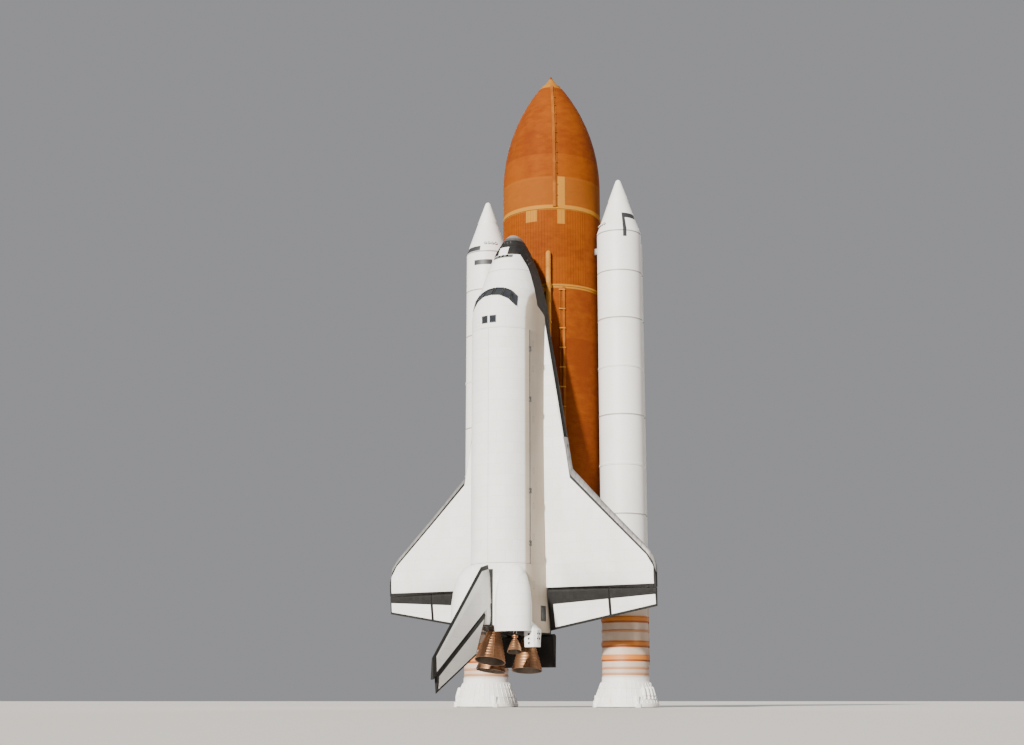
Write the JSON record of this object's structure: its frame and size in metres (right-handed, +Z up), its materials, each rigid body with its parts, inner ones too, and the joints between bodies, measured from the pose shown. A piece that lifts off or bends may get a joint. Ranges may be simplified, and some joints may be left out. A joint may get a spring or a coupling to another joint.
{
  "type": "1:2 scale model space shuttle on its launch stack",
  "caption": "Half-scale winged spacecraft with opening payload doors, on its external tank and two solid boosters, standing nose up on the boosters' skirts.",
  "frame": {"origin": "centre of the bounding box's bottom, on the floor between the boosters' feet", "axes": "+Z up through the nose, +X towards the orbiter's starboard wing, -Y towards the side the orbiter's back faces"},
  "size_m": [11.8948, 11.6759, 27.319],
  "materials": {
    "tank_foam": "sprayed foam, matte orange-brown",
    "line_foam": "matte tan insulation",
    "attach_steel": "dull grey metal",
    "booster_paint": "semi-matte white paint",
    "nozzle_metal": "heat-stained dark metal",
    "carbon_edge": "matte grey carbon",
    "black_tile": "matte black tile",
    "white_tile": "matte white tile",
    "white_blanket": "matte white quilted blanket"
  },
  "bodies": {
    "stack": {"aft_attach_frame": "attach_steel", "aft_fuselage": "white_tile", "fin": "white_blanket", "forward_bipod": "attach_steel", "forward_fuselage": "white_tile", "hydrogen_tank_cable_tray": "line_foam", "hydrogen_umbilical": "line_foam", "intertank": "tank_foam", "left_booster_aft_skirt": "booster_paint", "left_booster_motor_case": "booster_paint", "left_booster_nose_cone": "booster_paint", "left_orbital_pod": "white_blanket", "left_wing": "white_tile", "left_wing_leading_edge": "carbon_edge", "liquid_hydrogen_tank": "tank_foam", "liquid_oxygen_tank": "tank_foam", "mid_fuselage": "white_tile", "nose_cap": "carbon_edge", "oxygen_feedline": "line_foam", "oxygen_tank_cable_tray": "line_foam", "right_booster_aft_skirt": "booster_paint", "right_booster_motor_case": "booster_paint", "right_booster_nose_cone": "booster_paint", "right_orbital_pod": "white_blanket", "right_wing": "white_tile", "right_wing_leading_edge": "carbon_edge"},
    "left_payload_door": {"left_payload_door": "white_blanket"},
    "right_payload_door": {"right_payload_door": "white_blanket"},
    "crew_hatch": {"crew_hatch": "white_tile"},
    "left_inboard_elevon": {"left_inboard_elevon": "white_tile"},
    "left_outboard_elevon": {"left_outboard_elevon": "white_tile"},
    "right_inboard_elevon": {"right_inboard_elevon": "white_tile"},
    "right_outboard_elevon": {"right_outboard_elevon": "white_tile"},
    "body_flap": {"body_flap": "black_tile"},
    "rudder_spar": {"rudder_spar": "white_blanket"},
    "left_rudder_panel": {"left_rudder_panel": "white_blanket"},
    "right_rudder_panel": {"right_rudder_panel": "white_blanket"},
    "upper_main_engine_gimbal_block": {"upper_main_engine_gimbal_block": "attach_steel"},
    "upper_main_engine": {"upper_main_engine": "nozzle_metal"},
    "left_main_engine_gimbal_block": {"left_main_engine_gimbal_block": "attach_steel"},
    "left_main_engine": {"left_main_engine": "nozzle_metal"},
    "right_main_engine_gimbal_block": {"right_main_engine_gimbal_block": "attach_steel"},
    "right_main_engine": {"right_main_engine": "nozzle_metal"},
    "left_orbital_engine_gimbal_block": {"left_orbital_engine_gimbal_block": "attach_steel"},
    "left_orbital_engine": {"left_orbital_engine": "nozzle_metal"},
    "right_orbital_engine_gimbal_block": {"right_orbital_engine_gimbal_block": "attach_steel"},
    "right_orbital_engine": {"right_orbital_engine": "nozzle_metal"},
    "left_booster_nozzle_gimbal_block": {"left_booster_nozzle_gimbal_block": "attach_steel"},
    "left_booster_nozzle": {"left_booster_nozzle": "nozzle_metal"},
    "right_booster_nozzle_gimbal_block": {"right_booster_nozzle_gimbal_block": "attach_steel"},
    "right_booster_nozzle": {"right_booster_nozzle": "nozzle_metal"}
  },
  "joints": [
    {"name": "left_payload_door_hinge", "type": "hinge", "parent": "stack", "child": "left_payload_door", "pos_m": [-1.32715, -0.7874, 10.04062], "axis": [0, 0, -1], "range_deg": [0, 175.5]},
    {"name": "right_payload_door_hinge", "type": "hinge", "parent": "stack", "child": "right_payload_door", "pos_m": [1.32715, -0.7874, 10.04062], "axis": [0, 0, 1], "range_deg": [0, 175.5]},
    {"name": "crew_hatch_hinge", "type": "hinge", "parent": "stack", "child": "crew_hatch", "pos_m": [-1.32334, 0.1016, 15.27302], "axis": [0, 0, -1], "range_deg": [0, 90]},
    {"name": "left_inboard_elevon_hinge", "type": "hinge", "parent": "stack", "child": "left_inboard_elevon", "pos_m": [-2.6416, 0.68383, 4.38912], "axis": [-0.9995, -0.0316, 0], "range_deg": [-20, 35]},
    {"name": "left_outboard_elevon_hinge", "type": "hinge", "parent": "stack", "child": "left_outboard_elevon", "pos_m": [-4.953, 0.61066, 4.38912], "axis": [-0.9995, -0.0316, 0], "range_deg": [-20, 35]},
    {"name": "right_inboard_elevon_hinge", "type": "hinge", "parent": "stack", "child": "right_inboard_elevon", "pos_m": [2.6416, 0.68383, 4.38912], "axis": [-0.9995, 0.0316, 0], "range_deg": [-20, 35]},
    {"name": "right_outboard_elevon_hinge", "type": "hinge", "parent": "stack", "child": "right_outboard_elevon", "pos_m": [4.953, 0.61066, 4.38912], "axis": [-0.9995, 0.0316, 0], "range_deg": [-20, 35]},
    {"name": "body_flap_hinge", "type": "hinge", "parent": "stack", "child": "body_flap", "pos_m": [0, 0.7747, 2.667], "axis": [-1, 0, 0], "range_deg": [-22.5, 11.7]},
    {"name": "rudder_hinge", "type": "hinge", "parent": "stack", "child": "rudder_spar", "pos_m": [0, -3.79643, 2.32461], "axis": [0, -0.8207, -0.5714], "range_deg": [-27.1, 27.1]},
    {"name": "left_rudder_panel_hinge", "type": "hinge", "parent": "rudder_spar", "child": "left_rudder_panel", "pos_m": [-0.14745, -2.02419, 3.55767], "axis": [-0.0195, 0.8205, 0.5713], "range_deg": [0, 49.3]},
    {"name": "right_rudder_panel_hinge", "type": "hinge", "parent": "rudder_spar", "child": "right_rudder_panel", "pos_m": [0.14745, -2.02419, 3.55767], "axis": [-0.0195, -0.8205, -0.5713], "range_deg": [0, 49.3]},
    {"name": "upper_main_engine_pitch", "type": "hinge", "parent": "stack", "child": "upper_main_engine_gimbal_block", "pos_m": [0, -1.0922, 3.65252], "axis": [-1, 0, 0], "range_deg": [-10.5, 10.5]},
    {"name": "upper_main_engine_yaw", "type": "hinge", "parent": "upper_main_engine_gimbal_block", "child": "upper_main_engine", "pos_m": [0, -1.0922, 3.65252], "axis": [0, -0.9613, 0.2756], "range_deg": [-8.5, 8.5]},
    {"name": "left_main_engine_pitch", "type": "hinge", "parent": "stack", "child": "left_main_engine_gimbal_block", "pos_m": [-0.6731, 0.18288, 3.35826], "axis": [-0.9981, 0.0106, 0.0601], "range_deg": [-10.5, 10.5]},
    {"name": "left_main_engine_yaw", "type": "hinge", "parent": "left_main_engine_gimbal_block", "child": "left_main_engine", "pos_m": [-0.6731, 0.18288, 3.35826], "axis": [0, -0.9848, 0.1736], "range_deg": [-8.5, 8.5]},
    {"name": "right_main_engine_pitch", "type": "hinge", "parent": "stack", "child": "right_main_engine_gimbal_block", "pos_m": [0.6731, 0.18288, 3.35826], "axis": [-0.9981, -0.0106, -0.0601], "range_deg": [-10.5, 10.5]},
    {"name": "right_main_engine_yaw", "type": "hinge", "parent": "right_main_engine_gimbal_block", "child": "right_main_engine", "pos_m": [0.6731, 0.18288, 3.35826], "axis": [0, -0.9848, 0.1736], "range_deg": [-8.5, 8.5]},
    {"name": "left_orbital_engine_pitch", "type": "hinge", "parent": "stack", "child": "left_orbital_engine_gimbal_block", "pos_m": [-1.1176, -1.7145, 2.72542], "axis": [-0.9936, 0.0308, 0.1089], "range_deg": [-6, 6]},
    {"name": "left_orbital_engine_yaw", "type": "hinge", "parent": "left_orbital_engine_gimbal_block", "child": "left_orbital_engine", "pos_m": [-1.1176, -1.7145, 2.72542], "axis": [0, -0.9622, 0.2723], "range_deg": [-7, 7]},
    {"name": "right_orbital_engine_pitch", "type": "hinge", "parent": "stack", "child": "right_orbital_engine_gimbal_block", "pos_m": [1.1176, -1.7145, 2.72542], "axis": [-0.9936, -0.0308, -0.1089], "range_deg": [-6, 6]},
    {"name": "right_orbital_engine_yaw", "type": "hinge", "parent": "right_orbital_engine_gimbal_block", "child": "right_orbital_engine", "pos_m": [1.1176, -1.7145, 2.72542], "axis": [0, -0.9622, 0.2723], "range_deg": [-7, 7]},
    {"name": "left_booster_nozzle_pitch", "type": "hinge", "parent": "stack", "child": "left_booster_nozzle_gimbal_block", "pos_m": [-3.18135, 3.72745, 1.02362], "axis": [-1, 0, 0], "range_deg": [-8, 8]},
    {"name": "left_booster_nozzle_yaw", "type": "hinge", "parent": "left_booster_nozzle_gimbal_block", "child": "left_booster_nozzle", "pos_m": [-3.18135, 3.72745, 1.02362], "axis": [0, -1, 0], "range_deg": [-8, 8]},
    {"name": "right_booster_nozzle_pitch", "type": "hinge", "parent": "stack", "child": "right_booster_nozzle_gimbal_block", "pos_m": [3.18135, 3.72745, 1.02362], "axis": [-1, 0, 0], "range_deg": [-8, 8]},
    {"name": "right_booster_nozzle_yaw", "type": "hinge", "parent": "right_booster_nozzle_gimbal_block", "child": "right_booster_nozzle", "pos_m": [3.18135, 3.72745, 1.02362], "axis": [0, -1, 0], "range_deg": [-8, 8]}
  ]
}
